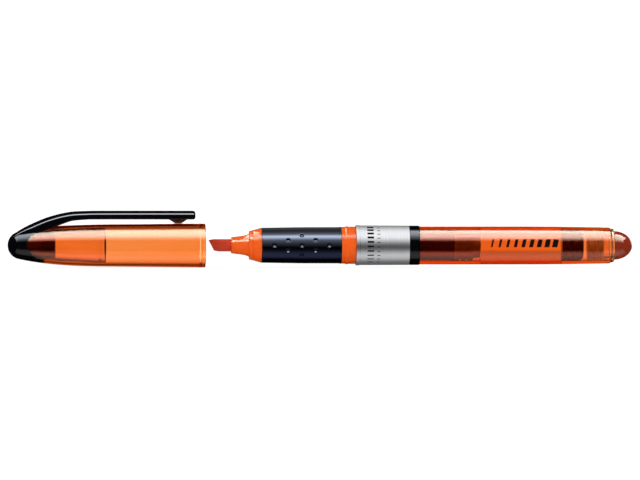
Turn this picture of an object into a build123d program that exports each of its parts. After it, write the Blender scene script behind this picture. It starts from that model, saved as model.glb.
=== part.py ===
"""A capped pen-format highlighter with liquid ink, a chisel nib and a cap with a springy clip.

Millimetres. The pen lies along X: the nib points to low x and the rear dome to high x. +Z is the clip side.
The origin is on the pen's axis, in the middle of the barrel's straight stretch.
The cap is off the pen and in line with it, its mouth just in front of the nib.
"""

import os
from math import cos, radians, sin

from build123d import *

# Clearances
press_gap = 0.02  # between pieces that are pressed or trapped together
slide_gap = 0.06  # between the cap's snap bead and the collar's bead

# Nib and the clear nose that holds it
nib_r = 1.82
nib_tip_x = -78.92
nib_tip_z = 1.48
nib_heel_x = -77.25
nib_heel_z = -1.66
nib_heel_step = 0.5
nib_brow_run = 1.3  # from the tip back to where the slanted top meets the rod
nib_brow_exit = 2.7
nib_edge_half = 0.3
nib_facet_x = -72.8
nib_rear_x = -46.0
guide_tip_x = -72.28
guide_tip_r = 2.37
guide_flare_x = -69.15
guide_flare_r = 2.74
guide_flare_mid = (-67.8, 3.05)
guide_flare_end_r = 3.55
guide_flange_x = -66.9
guide_flange_r = 4.41
guide_flange_slope = 0.17
guide_tail_x = -56.0
guide_tail_r = 2.9

# Front section: cone, tube under the grip, collar for the cap, spigot
cone_x = -65.95
cone_r = 5.15
grip_front_x = -63.38
grip_rear_x = -39.7
grip_seat_r = 4.3
collar_r = 5.50
collar_front_r = 5.43
collar_bead_r = 5.60
collar_bead_x = -38.1
collar_bead_half = 0.5
bead_side = 0.25
sleeve_front_x = -35.44
section_rear_x = -27.0
section_rear_bevel = (0.4, 0.3)
section_bore_r = 3.4
throat_r = 2.02
throat_length = 4.0
throat_inset = 1.5

# Soft grip
grip_front_r = 5.18
grip_mid_x = -51.6
grip_mid_r = 5.34
grip_lip_r = 5.43
grip_lip_length = 0.6
grip_lip_slope = 0.2
dimple_r = 0.7
dimple_depth = 0.22
dimple_column_first_x = -59.67
dimple_column_pitch = 4.05
dimple_columns = ((0,), (-16.5, 16.5), (-33, 0, 33), (-16.5, 16.5), (0,))
dimple_fields = 3

# Barrel, silver sleeve and black ring
sleeve_lip_r = 5.95
sleeve_lip_length = 0.95
sleeve_lip_slope = 0.2
sleeve_r = 5.87
sleeve_rear_r = 5.81
rim_break = 0.1  # the small bevel on the edges of the grip, the sleeve and the ring
ring_front_x = -19.6
ring_r = 5.81
barrel_front_x = -16.65
tank_step_x = -17.15
barrel_r = 5.65
barrel_straight_end_x = 15.6
barrel_rear_x = 40.2
barrel_rear_r = 5.36
barrel_rear_bevel = 0.35
spigot_r = 5.17
spigot_inset = 0.3
spigot_bore_r = 4.4
tank_bore_r = 4.55

# Ink system inside the barrel
wick_r = 1.3
collector_front_x = -26.4
collector_rear_x = -6.4
collector_gap = 0.1
collector_step_x = -16.9
collector_rim_length = 0.8
air_slot = 0.5
air_slot_floor_r = 2.4
divider_groove_count = 2
divider_groove_half = 0.35
divider_groove_depth = 0.33
divider_step_x = -0.9
divider_rear_x = 1.4
divider_nose_r = 3.9
divider_nose_taper = 0.2
ink_rear_x = 25.5
stopper_rear_x = 31.9
stopper_round = 1.3
plug_front_x = 33.0
plug_rear_x = 37.7
plug_rib_count = 5
plug_rib_depth = 0.3
plug_rib_shares = (0.25, 0.55, 0.8)  # of the pitch: crest begins, crest ends, groove begins
plug_hollow_r = 3.1
plug_web_thick = 1.2
plug_draft = 0.2

# Rear plug with a dome
end_spigot_x = 37.8
end_spigot_bore_r = 3.4
end_spigot_draft = 0.1
end_flange_x = 40.75
end_flange_r = 5.0
end_flange_bevel = 0.15
end_neck_r = 4.5
end_hollow_x = 42.2
end_hollow_r = 2.7
end_hollow_tip_x = 45.5
end_hollow_tip_r = 1.3
dome_x = 41.2
dome_r = 4.25
dome_tip_x = 46.55

# Cap
mouth_x = -79.93
mouth_r = 6.53
cap_taper = 0.0087
swell_x = -106.5
shoulder_x = -135.3
shoulder_r = 4.0
swell_power = 3.0
nose_tip_x = -138.3
nose_round_mid = (-137.35, 2.66)
cap_wall = 0.72
bore_mouth_r = 5.75
mouth_round = 0.2
mouth_bevel = 0.3
bore_step_x = -108.0
cap_bead_x = -81.3
cap_bead_half = 0.55
cap_bead_side = 0.4
scallop_x = -132.9
scallop_curve = 0.193
lip_x = -127.0
inner_front_x = -128.4
inner_flange_thick = 1.1
inner_rim_x = -109.4
inner_front_r = 3.95
inner_r = 4.75
inner_wall = 0.45
seal_r = 4.45
seal_x = -111.0
seal_half = 0.5
seal_side = 0.3
inner_rim_bevel = 0.15
inner_throat = 3.0  # the length of the inner cap's wide mouth
inner_front_draft = 0.1
nose_plug_end_x = -124.4
nose_plug_r = 3.9

# Clip
clip_width_root = 6.0
clip_width_tip = 4.6
clip_end_x = -82.85
clip_top_z = 10.2
clip_under_z = 7.6
clip_edge_round = 0.6
clip_corner = 0.8
clip_gap = 0.06
clip_bend_top = ((-126.1, 8.36), (-123.2, 9.15), (-120.1, 9.8), (-117.2, 10.08))
clip_flat_x = -114.4
clip_bend_under = ((-117.2, 7.4), (-119.7, 7.1))
clip_rise_x = -123.1
lug_tip = (-135.2, 4.1)
lug_brow = (-131.5, 6.15)
lug_base_z = 2.0
hinge_x = -127.6
hinge_z = 6.6
hinge_r = 1.05
foot_x = -87.9
foot_top_half = 2.8
foot_tip_half = 1.1


def turned(*corners):
    """A solid turned about the pen's axis from (x, radius) corners joined by straight lines."""
    return revolve(make_face(Polyline(*corners, close=True)), Axis.X)


def turned_edges(*edges):
    """A solid turned about the pen's axis from the edges of a closed outline."""
    return revolve(make_face(Wire(list(edges))), Axis.X)


def prism(corners, width):
    """A side outline of (x, z) corners, made solid across the pen with that width."""
    outline = Polyline(*[(x, 0, z) for x, z in corners], close=True)
    return extrude(make_face(outline), amount=width / 2, dir=(0, 1, 0), both=True)


def cap_radius(x):
    """The cap's outer radius: a slight straight taper, and a swelling curve towards the nose."""
    straight = mouth_r - cap_taper * (mouth_x - x)
    drop = (mouth_r - cap_taper * (mouth_x - shoulder_x)) - shoulder_r
    reach = max(swell_x - x, 0) / (swell_x - shoulder_x)
    return straight - drop * reach**swell_power


def cap_bore(x):
    """The cap tube's inner radius in front of its straight bore."""
    return cap_radius(x) - cap_wall


def stations(start, end, count):
    """Evenly spaced x values from start to end."""
    return [start + (end - start) * i / (count - 1) for i in range(count)]


# ---- pen -------------------------------------------------------------------------------------


def make_nib():
    beyond = nib_r + 0.5
    side = prism(
        [
            (nib_tip_x, nib_tip_z),
            (nib_tip_x + nib_brow_run, nib_r),
            (nib_tip_x + nib_brow_exit, beyond),
            (nib_rear_x, beyond),
            (nib_rear_x, -beyond),
            (nib_heel_x + 2 * nib_heel_step, -beyond),
            (nib_heel_x + nib_heel_step, -nib_r),
            (nib_heel_x, nib_heel_z),
        ],
        2 * nib_r,
    )
    wedge = extrude(
        make_face(
            Polyline(
                (nib_rear_x, nib_r + 0.1),
                (nib_facet_x, nib_r),
                (nib_tip_x, nib_edge_half),
                (nib_tip_x, -nib_edge_half),
                (nib_facet_x, -nib_r),
                (nib_rear_x, -nib_r - 0.1),
                close=True,
            )
        ),
        amount=nib_r + 1,
        both=True,
    )
    rod = turned((nib_tip_x, 0), (nib_tip_x, nib_r), (nib_rear_x, nib_r), (nib_rear_x, 0))
    return rod & side & wedge


def make_nib_guide():
    bore_r = nib_r + press_gap / 2
    rear_x = cone_x - press_gap
    front_r = guide_flange_r - guide_flange_slope
    flare_start = (guide_flare_x, guide_flare_r)
    flare_end = (guide_flange_x, guide_flare_end_r)
    return turned_edges(
        Line((guide_tip_x, bore_r), (guide_tip_x, guide_tip_r)),
        Line((guide_tip_x, guide_tip_r), flare_start),
        ThreePointArc(flare_start, guide_flare_mid, flare_end),
        Line(flare_end, (guide_flange_x, front_r)),
        Line((guide_flange_x, front_r), (rear_x, guide_flange_r)),
        Line((rear_x, guide_flange_r), (rear_x, guide_tail_r)),
        Line((rear_x, guide_tail_r), (guide_tail_x, guide_tail_r)),
        Line((guide_tail_x, guide_tail_r), (guide_tail_x, bore_r)),
        Line((guide_tail_x, bore_r), (guide_tip_x, bore_r)),
    )


def make_front_section():
    tail_bore_r = guide_tail_r + press_gap / 2
    throat_front_x = guide_tail_x + throat_inset
    throat_rear_x = throat_front_x + throat_length
    bead_front_x = collar_bead_x - collar_bead_half
    bead_rear_x = collar_bead_x + collar_bead_half
    collar_end_x = sleeve_front_x - press_gap
    rear_r = spigot_bore_r - press_gap
    bevel_length, bevel_depth = section_rear_bevel
    return turned(
        (cone_x, tail_bore_r),
        (cone_x, guide_flange_r),
        (grip_front_x, cone_r),
        (grip_front_x, grip_seat_r),
        (grip_rear_x, grip_seat_r),
        (grip_rear_x, collar_front_r),
        (bead_front_x, collar_front_r),
        (bead_front_x + bead_side, collar_bead_r),
        (bead_rear_x - bead_side, collar_bead_r),
        (bead_rear_x, collar_r),
        (collar_end_x, collar_r),
        (collar_end_x, rear_r),
        (section_rear_x - bevel_length, rear_r),
        (section_rear_x, rear_r - bevel_depth),
        (section_rear_x, section_bore_r),
        (throat_rear_x, section_bore_r),
        (throat_rear_x, throat_r),
        (throat_front_x, throat_r),
        (throat_front_x, tail_bore_r),
    )


def make_grip_sleeve():
    front_x = grip_front_x + press_gap
    rear_x = grip_rear_x - press_gap
    lip_front_x = rear_x - grip_lip_length
    bore_r = grip_seat_r + press_gap
    sleeve = turned(
        (front_x, bore_r),
        (front_x, grip_front_r - rim_break),
        (front_x + rim_break, grip_front_r),
        (grip_mid_x, grip_mid_r),
        (lip_front_x - grip_lip_slope, grip_mid_r),
        (lip_front_x, grip_lip_r),
        (rear_x - rim_break, grip_lip_r),
        (rear_x, grip_lip_r - rim_break),
        (rear_x, bore_r),
    )
    ball_r = (dimple_r**2 + dimple_depth**2) / (2 * dimple_depth)
    ball_centre_r = (grip_front_r + grip_mid_r) / 2 + ball_r - dimple_depth
    for field in range(dimple_fields):
        for column, angles in enumerate(dimple_columns):
            x = dimple_column_first_x + column * dimple_column_pitch
            for angle in angles:
                turn = radians(angle + field * 360 / dimple_fields)
                centre = (x, -ball_centre_r * cos(turn), ball_centre_r * sin(turn))
                sleeve -= Pos(*centre) * Sphere(ball_r)
    return sleeve


def make_trim_sleeve():
    rear_x = ring_front_x - press_gap
    bore_r = spigot_r + press_gap
    return turned(
        (sleeve_front_x, bore_r),
        (sleeve_front_x, sleeve_lip_r - rim_break),
        (sleeve_front_x + rim_break, sleeve_lip_r),
        (sleeve_front_x + sleeve_lip_length, sleeve_lip_r),
        (sleeve_front_x + sleeve_lip_length + sleeve_lip_slope, sleeve_r),
        (rear_x - rim_break, sleeve_rear_r),
        (rear_x, sleeve_rear_r - rim_break),
        (rear_x, bore_r),
    )


def make_joint_ring():
    rear_x = barrel_front_x - press_gap
    bore_r = spigot_r + press_gap
    return turned(
        (ring_front_x, bore_r),
        (ring_front_x, ring_r - rim_break),
        (ring_front_x + rim_break, ring_r),
        (rear_x - rim_break, ring_r),
        (rear_x, ring_r - rim_break),
        (rear_x, bore_r),
    )


def make_barrel():
    spigot_front_x = sleeve_front_x + spigot_inset
    shoulder = (barrel_rear_x - barrel_rear_bevel, barrel_rear_r)
    rear_r = barrel_rear_r - barrel_rear_bevel
    straight_end = (barrel_straight_end_x, barrel_r)
    return turned_edges(
        Line((spigot_front_x, spigot_bore_r), (spigot_front_x, spigot_r)),
        Line((spigot_front_x, spigot_r), (barrel_front_x, spigot_r)),
        Line((barrel_front_x, spigot_r), (barrel_front_x, barrel_r)),
        Line((barrel_front_x, barrel_r), straight_end),
        TangentArc(straight_end, shoulder, tangent=(1, 0)),
        Line(shoulder, (barrel_rear_x, rear_r)),
        Line((barrel_rear_x, rear_r), (barrel_rear_x, tank_bore_r)),
        Line((barrel_rear_x, tank_bore_r), (tank_step_x, tank_bore_r)),
        Line((tank_step_x, tank_bore_r), (tank_step_x, spigot_bore_r)),
        Line((tank_step_x, spigot_bore_r), (spigot_front_x, spigot_bore_r)),
    )


def make_ink_wick():
    front_x = nib_rear_x
    rear_x = divider_rear_x
    return turned((front_x, 0), (front_x, wick_r), (rear_x, wick_r), (rear_x, 0))


def make_ink_collector():
    """A smooth-sided drum round the wick, stepped with the bore, with an air slot along its top."""
    bore_r = wick_r + press_gap
    front_r = spigot_bore_r - collector_gap
    drum_r = tank_bore_r - collector_gap
    rim_r = tank_bore_r - press_gap
    rim_x = collector_rear_x - collector_rim_length
    drum = turned(
        (collector_front_x, bore_r),
        (collector_front_x, front_r),
        (collector_step_x, front_r),
        (collector_step_x, drum_r),
        (rim_x, drum_r),
        (rim_x, rim_r),
        (collector_rear_x, rim_r),
        (collector_rear_x, bore_r),
    )
    length = rim_x - collector_front_x
    slot = Box(length, air_slot, tank_bore_r, align=(Align.MIN, Align.CENTER, Align.MIN))
    return drum - Pos(collector_front_x, 0, air_slot_floor_r) * slot


def make_tank_divider():
    front_x = collector_rear_x + press_gap
    bore_r = wick_r + press_gap
    rib_r = tank_bore_r - press_gap
    groove_r = rib_r - divider_groove_depth
    half = divider_groove_half
    corners = [(front_x, bore_r), (front_x, rib_r)]
    groove_pitch = (divider_step_x - front_x) / (divider_groove_count + 1)
    for i in range(divider_groove_count):
        x = front_x + (i + 1) * groove_pitch
        corners += [
            (x - half, rib_r),
            (x - half, groove_r),
            (x + half, groove_r),
            (x + half, rib_r),
        ]
    corners += [
        (divider_step_x, rib_r),
        (divider_step_x, divider_nose_r),
        (divider_rear_x, divider_nose_r - divider_nose_taper),
        (divider_rear_x, bore_r),
    ]
    return turned(*corners)


def make_ink_fill():
    front_x = divider_rear_x + press_gap
    rear_x = ink_rear_x - press_gap
    ink_r = tank_bore_r - press_gap
    return turned((front_x, 0), (front_x, ink_r), (rear_x, ink_r), (rear_x, 0))


def make_tank_stopper():
    body_r = tank_bore_r - press_gap
    round_x = stopper_rear_x - stopper_round
    face_r = body_r - stopper_round
    reach = stopper_round * sin(radians(45))
    bend = (round_x + reach, face_r + reach)
    return turned_edges(
        Line((ink_rear_x, 0), (ink_rear_x, body_r)),
        Line((ink_rear_x, body_r), (round_x, body_r)),
        ThreePointArc((round_x, body_r), bend, (stopper_rear_x, face_r)),
        Line((stopper_rear_x, face_r), (stopper_rear_x, 0)),
        Line((stopper_rear_x, 0), (ink_rear_x, 0)),
    )


def make_seal_plug():
    rib_r = tank_bore_r - press_gap
    groove_r = rib_r - plug_rib_depth
    web_x = plug_front_x + plug_web_thick
    rib_pitch = (plug_rear_x - plug_front_x) / plug_rib_count
    crest_start, crest_end, groove_start = plug_rib_shares
    corners = [(plug_front_x, 0)]
    for i in range(plug_rib_count):
        x = plug_front_x + i * rib_pitch
        corners += [
            (x, groove_r),
            (x + crest_start * rib_pitch, rib_r),
            (x + crest_end * rib_pitch, rib_r),
            (x + groove_start * rib_pitch, groove_r),
        ]
    corners += [
        (plug_rear_x, groove_r),
        (plug_rear_x, plug_hollow_r),
        (web_x, plug_hollow_r - plug_draft),
        (web_x, 0),
    ]
    return turned(*corners)


def make_end_plug():
    seat_x = barrel_rear_x + press_gap
    spigot = tank_bore_r - press_gap
    step_x = end_flange_x + end_flange_bevel
    step_r = end_flange_r - end_flange_bevel
    dome_length = dome_tip_x - dome_x
    hollow_wall_r = end_spigot_bore_r - end_spigot_draft
    return turned_edges(
        Line((end_spigot_x, end_spigot_bore_r), (end_spigot_x, spigot)),
        Line((end_spigot_x, spigot), (seat_x, spigot)),
        Line((seat_x, spigot), (seat_x, end_flange_r)),
        Line((seat_x, end_flange_r), (end_flange_x, end_flange_r)),
        Line((end_flange_x, end_flange_r), (step_x, step_r)),
        Line((step_x, step_r), (dome_x, end_neck_r)),
        Line((dome_x, end_neck_r), (dome_x, dome_r)),
        EllipticalCenterArc((dome_x, 0), dome_length, dome_r, arc_size=90),
        Line((dome_tip_x, 0), (end_hollow_tip_x, 0)),
        Line((end_hollow_tip_x, 0), (end_hollow_tip_x, end_hollow_tip_r)),
        Line((end_hollow_tip_x, end_hollow_tip_r), (end_hollow_x, end_hollow_r)),
        Line((end_hollow_x, end_hollow_r), (end_hollow_x, hollow_wall_r)),
        Line((end_hollow_x, hollow_wall_r), (end_spigot_x, end_spigot_bore_r)),
    )


# ---- cap -------------------------------------------------------------------------------------


def beyond_scallop(gap):
    """Everything behind the nose's scalloped edge: a parabola seen from the side."""
    half = mouth_r + 2.5
    apex = scallop_x + gap
    end_x = apex + scallop_curve * half**2
    pull_x = 2 * apex - end_x
    far_x = mouth_x + 5
    edge = Bezier((end_x, 0, half), (pull_x, 0, 0), (end_x, 0, -half))
    rest = Polyline((end_x, 0, -half), (far_x, 0, -half), (far_x, 0, half), (end_x, 0, half))
    face = make_face(Wire([edge, *rest.edges()]))
    return extrude(face, amount=half, dir=(0, 1, 0), both=True)


def make_cap_tube():
    front_x = scallop_x - 0.5
    outer = Spline(*[(x, cap_radius(x)) for x in stations(front_x, swell_x, 9)])
    inner = Spline(*[(x, cap_bore(x)) for x in stations(bore_step_x, front_x, 8)])
    side_end = (mouth_x - mouth_round, cap_radius(mouth_x - mouth_round))
    rim_outer = (mouth_x, side_end[1] - mouth_round)
    rim_inner = (mouth_x, bore_mouth_r + mouth_bevel / 3)
    bore_start = (mouth_x - mouth_bevel, bore_mouth_r)
    bead_r = collar_bead_r + slide_gap
    bead_top_half = cap_bead_half - cap_bead_side
    bead_rear = (cap_bead_x + cap_bead_half, bore_mouth_r)
    bead_front = (cap_bead_x - cap_bead_half, bore_mouth_r)
    tube = turned_edges(
        outer,
        Line((swell_x, cap_radius(swell_x)), side_end),
        Line(side_end, rim_outer),
        Line(rim_outer, rim_inner),
        Line(rim_inner, bore_start),
        Line(bore_start, bead_rear),
        Line(bead_rear, (cap_bead_x + bead_top_half, bead_r)),
        Line((cap_bead_x + bead_top_half, bead_r), (cap_bead_x - bead_top_half, bead_r)),
        Line((cap_bead_x - bead_top_half, bead_r), bead_front),
        Line(bead_front, (bore_step_x, cap_bore(bore_step_x))),
        inner,
        Line((front_x, cap_bore(front_x)), (front_x, cap_radius(front_x))),
    )
    return (tube & beyond_scallop(press_gap)) - lug_block(press_gap)


def make_inner_cap():
    flange_x = inner_front_x + inner_flange_thick
    flange_r = cap_bore(inner_front_x) - press_gap
    wide_x = inner_rim_x - inner_throat
    outer_r = inner_r + inner_wall
    bevel = inner_rim_bevel
    seal_top_half = seal_half - seal_side
    return turned(
        (inner_front_x, inner_front_r),
        (inner_front_x, flange_r),
        (flange_x, flange_r),
        (flange_x, inner_front_r + inner_wall),
        (wide_x, outer_r),
        (inner_rim_x - bevel, outer_r),
        (inner_rim_x, outer_r - bevel),
        (inner_rim_x, inner_r + bevel / 2),
        (inner_rim_x - bevel, inner_r),
        (seal_x + seal_half, inner_r),
        (seal_x + seal_top_half, seal_r),
        (seal_x - seal_top_half, seal_r),
        (seal_x - seal_half, inner_r),
        (wide_x, inner_r),
        (nose_plug_end_x, inner_front_r + inner_front_draft),
        (nose_plug_end_x, inner_front_r),
    )


def lug_block(gap):
    """The outline of the clip's raised root, grown by a gap at its sides and its rear."""
    return prism(
        [
            lug_tip,
            lug_brow,
            (hinge_x - 0.4, hinge_z + hinge_r - 0.1),
            (hinge_x + gap, hinge_z + hinge_r),
            (hinge_x + gap, lug_base_z),
            (shoulder_x + 1.3, lug_base_z),
        ],
        clip_width_root + 2 * gap,
    )


def make_clip_lug():
    """The raised root of the clip on the nose, with a hollow seat for the clip's round end."""
    seat_x = inner_front_x - press_gap
    rear_x = hinge_x + 1
    inside = turned(
        (seat_x, 0), (seat_x, cap_bore(seat_x)), (rear_x, cap_bore(rear_x)), (rear_x, 0)
    )
    seat = Cylinder(hinge_r + press_gap, clip_width_root + 2, rotation=(90, 0, 0))
    return lug_block(0) - inside - Pos(hinge_x, 0, hinge_z) * seat


def make_cap_nose():
    seat_x = inner_front_x - press_gap
    seat_r = cap_bore(seat_x)
    lip_bore = cap_bore(lip_x)
    side = Spline(*[(x, cap_radius(x)) for x in stations(shoulder_x, lip_x, 5)])
    envelope = turned_edges(
        ThreePointArc((nose_tip_x, 0), nose_round_mid, (shoulder_x, shoulder_r)),
        side,
        Line((lip_x, cap_radius(lip_x)), (lip_x, lip_bore)),
        Line((lip_x, lip_bore), (seat_x, seat_r)),
        Line((seat_x, seat_r), (seat_x, nose_plug_r)),
        Line((seat_x, nose_plug_r), (nose_plug_end_x, nose_plug_r)),
        Line((nose_plug_end_x, nose_plug_r), (nose_plug_end_x, 0)),
        Line((nose_plug_end_x, 0), (nose_tip_x, 0)),
    )
    front_x = scallop_x - 1.0
    rear_x = lip_x + 1.0
    over_r = mouth_r + 1.5
    fit = [(x, cap_bore(x) - press_gap) for x in stations(front_x, rear_x, 5)]
    shell = turned_edges(
        Spline(*fit),
        Line(fit[-1], (rear_x, over_r)),
        Line((rear_x, over_r), (front_x, over_r)),
        Line((front_x, over_r), fit[0]),
    )
    nose = envelope - (shell & beyond_scallop(0))
    return nose + make_clip_lug()


def make_clip():
    foot_z = cap_radius(foot_x) + clip_gap
    corners = [
        (hinge_x, hinge_z + hinge_r),
        *clip_bend_top,
        (clip_flat_x, clip_top_z),
        (clip_end_x, clip_top_z),
        (clip_end_x, clip_under_z),
        (foot_x + foot_top_half, clip_under_z),
        (foot_x + foot_tip_half, foot_z),
        (foot_x - foot_tip_half, foot_z),
        (foot_x - foot_top_half, clip_under_z),
        (clip_flat_x, clip_under_z),
        *clip_bend_under,
        (clip_rise_x, cap_radius(clip_rise_x) + clip_gap),
        (hinge_x, hinge_z - hinge_r),
    ]
    round_end = Cylinder(hinge_r, 2 * clip_width_root, rotation=(90, 0, 0))
    arm = prism(corners, 2 * clip_width_root) + Pos(hinge_x, 0, hinge_z) * round_end
    root_half = clip_width_root / 2
    flat_half = clip_width_tip / 2 + 0.2
    tip_half = clip_width_tip / 2
    root_x = hinge_x - 2 * hinge_r
    corner_x = clip_end_x - clip_corner
    plan = Polyline(
        (root_x, root_half),
        (clip_flat_x, flat_half),
        (corner_x, tip_half),
        (clip_end_x, tip_half - clip_corner),
        (clip_end_x, clip_corner - tip_half),
        (corner_x, -tip_half),
        (clip_flat_x, -flat_half),
        (root_x, -root_half),
        close=True,
    )
    clip = arm & extrude(make_face(plan), amount=2 * clip_top_z)
    long_edges = [
        edge
        for edge in clip.edges()
        if edge.length > clip_edge_round * 10 and min(v.Z for v in edge.vertices()) > clip_top_z - 0.01
    ]
    return fillet(long_edges, clip_edge_round)


pieces = {
    "nib": make_nib,
    "nib_guide": make_nib_guide,
    "front_section": make_front_section,
    "grip_sleeve": make_grip_sleeve,
    "trim_sleeve": make_trim_sleeve,
    "joint_ring": make_joint_ring,
    "barrel": make_barrel,
    "ink_wick": make_ink_wick,
    "ink_collector": make_ink_collector,
    "tank_divider": make_tank_divider,
    "ink_fill": make_ink_fill,
    "tank_stopper": make_tank_stopper,
    "seal_plug": make_seal_plug,
    "end_plug": make_end_plug,
    "cap_tube": make_cap_tube,
    "inner_cap": make_inner_cap,
    "cap_nose": make_cap_nose,
    "clip": make_clip,
}

os.makedirs("parts", exist_ok=True)
for name, make in pieces.items():
    export_step(make(), f"parts/{name}.step")
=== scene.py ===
"""The looks of a capped highlighter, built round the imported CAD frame.

Metres in the frame; the outlines below are in millimetres and are scaled by MM.
The pen lies along X, nib to low x, and +Z is the clip side.
"""

from math import cos, hypot, pi, radians, sin, sqrt

import bmesh
import bpy
import numpy as np
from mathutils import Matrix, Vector


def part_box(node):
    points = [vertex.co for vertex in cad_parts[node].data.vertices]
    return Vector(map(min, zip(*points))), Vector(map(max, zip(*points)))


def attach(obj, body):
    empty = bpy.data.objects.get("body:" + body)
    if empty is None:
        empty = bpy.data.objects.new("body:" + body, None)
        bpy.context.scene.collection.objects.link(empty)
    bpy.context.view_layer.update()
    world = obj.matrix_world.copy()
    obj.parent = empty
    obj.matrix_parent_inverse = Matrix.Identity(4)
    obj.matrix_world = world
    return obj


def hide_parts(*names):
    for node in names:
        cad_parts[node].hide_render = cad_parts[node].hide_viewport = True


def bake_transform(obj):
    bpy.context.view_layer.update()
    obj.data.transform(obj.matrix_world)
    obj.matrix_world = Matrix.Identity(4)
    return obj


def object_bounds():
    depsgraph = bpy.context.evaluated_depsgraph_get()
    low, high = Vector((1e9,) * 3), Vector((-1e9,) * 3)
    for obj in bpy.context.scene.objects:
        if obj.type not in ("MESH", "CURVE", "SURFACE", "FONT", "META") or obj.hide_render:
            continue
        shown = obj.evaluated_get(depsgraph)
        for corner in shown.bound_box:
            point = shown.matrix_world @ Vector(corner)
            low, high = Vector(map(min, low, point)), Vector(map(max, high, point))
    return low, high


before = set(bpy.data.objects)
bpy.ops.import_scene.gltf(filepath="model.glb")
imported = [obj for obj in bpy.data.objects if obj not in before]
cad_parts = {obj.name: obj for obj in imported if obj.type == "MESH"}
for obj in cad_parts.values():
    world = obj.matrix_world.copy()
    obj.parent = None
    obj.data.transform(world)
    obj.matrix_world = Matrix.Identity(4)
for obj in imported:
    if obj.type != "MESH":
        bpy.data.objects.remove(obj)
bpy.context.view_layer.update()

scene = bpy.context.scene
MM = 0.001
SEGMENTS = 144  # round the pen


def span(node):
    """A node's first and last x and its largest radius, in millimetres."""
    low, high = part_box(node)
    return low.x / MM, high.x / MM, max(high.y, high.z, -low.z) / MM


# ---- dimensions taken from the frame ------------------------------------------------------------

nib_x0, nib_x1, nib_r = span("nib")
guide_x0, guide_x1, guide_r = span("nib_guide")
section_x0, section_x1, _ = span("front_section")
grip_x0, grip_x1, grip_r = span("grip_sleeve")
sleeve_x0, sleeve_x1, sleeve_r = span("trim_sleeve")
ring_x0, ring_x1, ring_r = span("joint_ring")
barrel_x0, barrel_x1, barrel_r = span("barrel")
ink_x0, ink_x1, _ = span("ink_fill")
end_x0, end_x1, end_r = span("end_plug")
tube_x0, mouth_x, mouth_r = span("cap_tube")
inner_x0, inner_x1, inner_r = span("inner_cap")
nose_x0, nose_x1, _ = span("cap_nose")
_, clip_x1, clip_top = span("clip")
CLIP_THICK = 2.6
clip_under = clip_top - CLIP_THICK


# ---- mesh tools ---------------------------------------------------------------------------------


def soften(points, radius=0.1, steps=3, keep=()):
    """An outline of (x, r) with its corners rounded, but for its ends, any on the axis and those in keep."""
    rounded = []
    count = len(points)
    for i, point in enumerate(points):
        before = points[i - 1] if i > 0 else None
        after = points[i + 1] if i + 1 < count else None
        if before is None or after is None or i in keep or point[1] <= 0:
            rounded.append(point)
            continue
        p, a, b = Vector(point), Vector(before), Vector(after)
        to_a, to_b = a - p, b - p
        room = min(radius, to_a.length * 0.45, to_b.length * 0.45)
        turn = pi - to_a.angle(to_b)
        if turn < radians(4):
            rounded.append(point)
            continue
        start = p + to_a.normalized() * room
        end = p + to_b.normalized() * room
        for k in range(steps + 1):
            t = k / steps
            q = start * (1 - t) ** 2 + p * 2 * t * (1 - t) + end * t**2
            rounded.append((q.x, q.y))
    return rounded


def face_outward(obj):
    """Makes every face point out of its closed solid."""
    work = bmesh.new()
    work.from_mesh(obj.data)
    bmesh.ops.recalc_face_normals(work, faces=work.faces)
    work.to_mesh(obj.data)
    work.free()


def mesh_piece(name, verts, faces, sharp=32):
    """A smooth-shaded closed object from millimetre points, with edges over the sharp angle kept crisp."""
    mesh = bpy.data.meshes.new(name)
    mesh.from_pydata([tuple(c * MM for c in v) for v in verts], [], faces)
    mesh.validate()
    mesh.update()
    obj = bpy.data.objects.new(name, mesh)
    scene.collection.objects.link(obj)
    for polygon in mesh.polygons:
        polygon.use_smooth = True
    mesh.set_sharp_from_angle(angle=radians(sharp))
    face_outward(obj)
    return obj


def ring_faces(first, second, count):
    """Quads between two rings of the same count, given by their first vertex numbers."""
    return [
        (first + k, first + (k + 1) % count, second + (k + 1) % count, second + k)
        for k in range(count)
    ]


def plain(x, r):
    """A plain ring for build_rings, or a point where the radius is 0."""
    return float(x) if r <= 0 else lambda angle: (x, r)


def build_rings(name, rings, looped=True, sharp=32):
    """A closed solid round the pen's axis, from rings.

    A ring is a function of the angle that gives (x, r), or an x on the axis. Looped rings come back to the
    first, as a tube's wall does."""
    verts, faces, starts = [], [], []
    for ring in rings:
        if isinstance(ring, float):
            starts.append((len(verts), 1))
            verts.append((ring, 0, 0))
            continue
        starts.append((len(verts), SEGMENTS))
        for k in range(SEGMENTS):
            angle = 2 * pi * k / SEGMENTS
            x, r = ring(angle)
            verts.append((x, r * cos(angle), r * sin(angle)))
    pairs = list(zip(starts, starts[1:]))
    if looped:
        pairs.append((starts[-1], starts[0]))
    for (a, a_count), (b, b_count) in pairs:
        if a_count == 1 and b_count == 1:
            continue
        if a_count == 1:
            faces += [(a, b + (k + 1) % SEGMENTS, b + k) for k in range(SEGMENTS)]
        elif b_count == 1:
            faces += [(a + k, a + (k + 1) % SEGMENTS, b) for k in range(SEGMENTS)]
        else:
            faces += ring_faces(a, b, SEGMENTS)
    return mesh_piece(name, verts, faces, sharp)


def build_stack(name, verts, per_ring, sharp):
    """A closed solid from points in rings of one count, each ring after the last, with flat ends."""
    faces = []
    last = len(verts) - per_ring
    for start in range(0, last, per_ring):
        faces += ring_faces(start, start + per_ring, per_ring)
    faces.append(tuple(range(per_ring)))
    faces.append(tuple(reversed(range(last, last + per_ring))))
    return mesh_piece(name, verts, faces, sharp)


def lathe(name, outline):
    """A solid turned about the pen's axis from a closed outline of (x, r)."""
    return build_rings(name, [plain(x, r) for x, r in outline])


# ---- materials ----------------------------------------------------------------------------------


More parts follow.
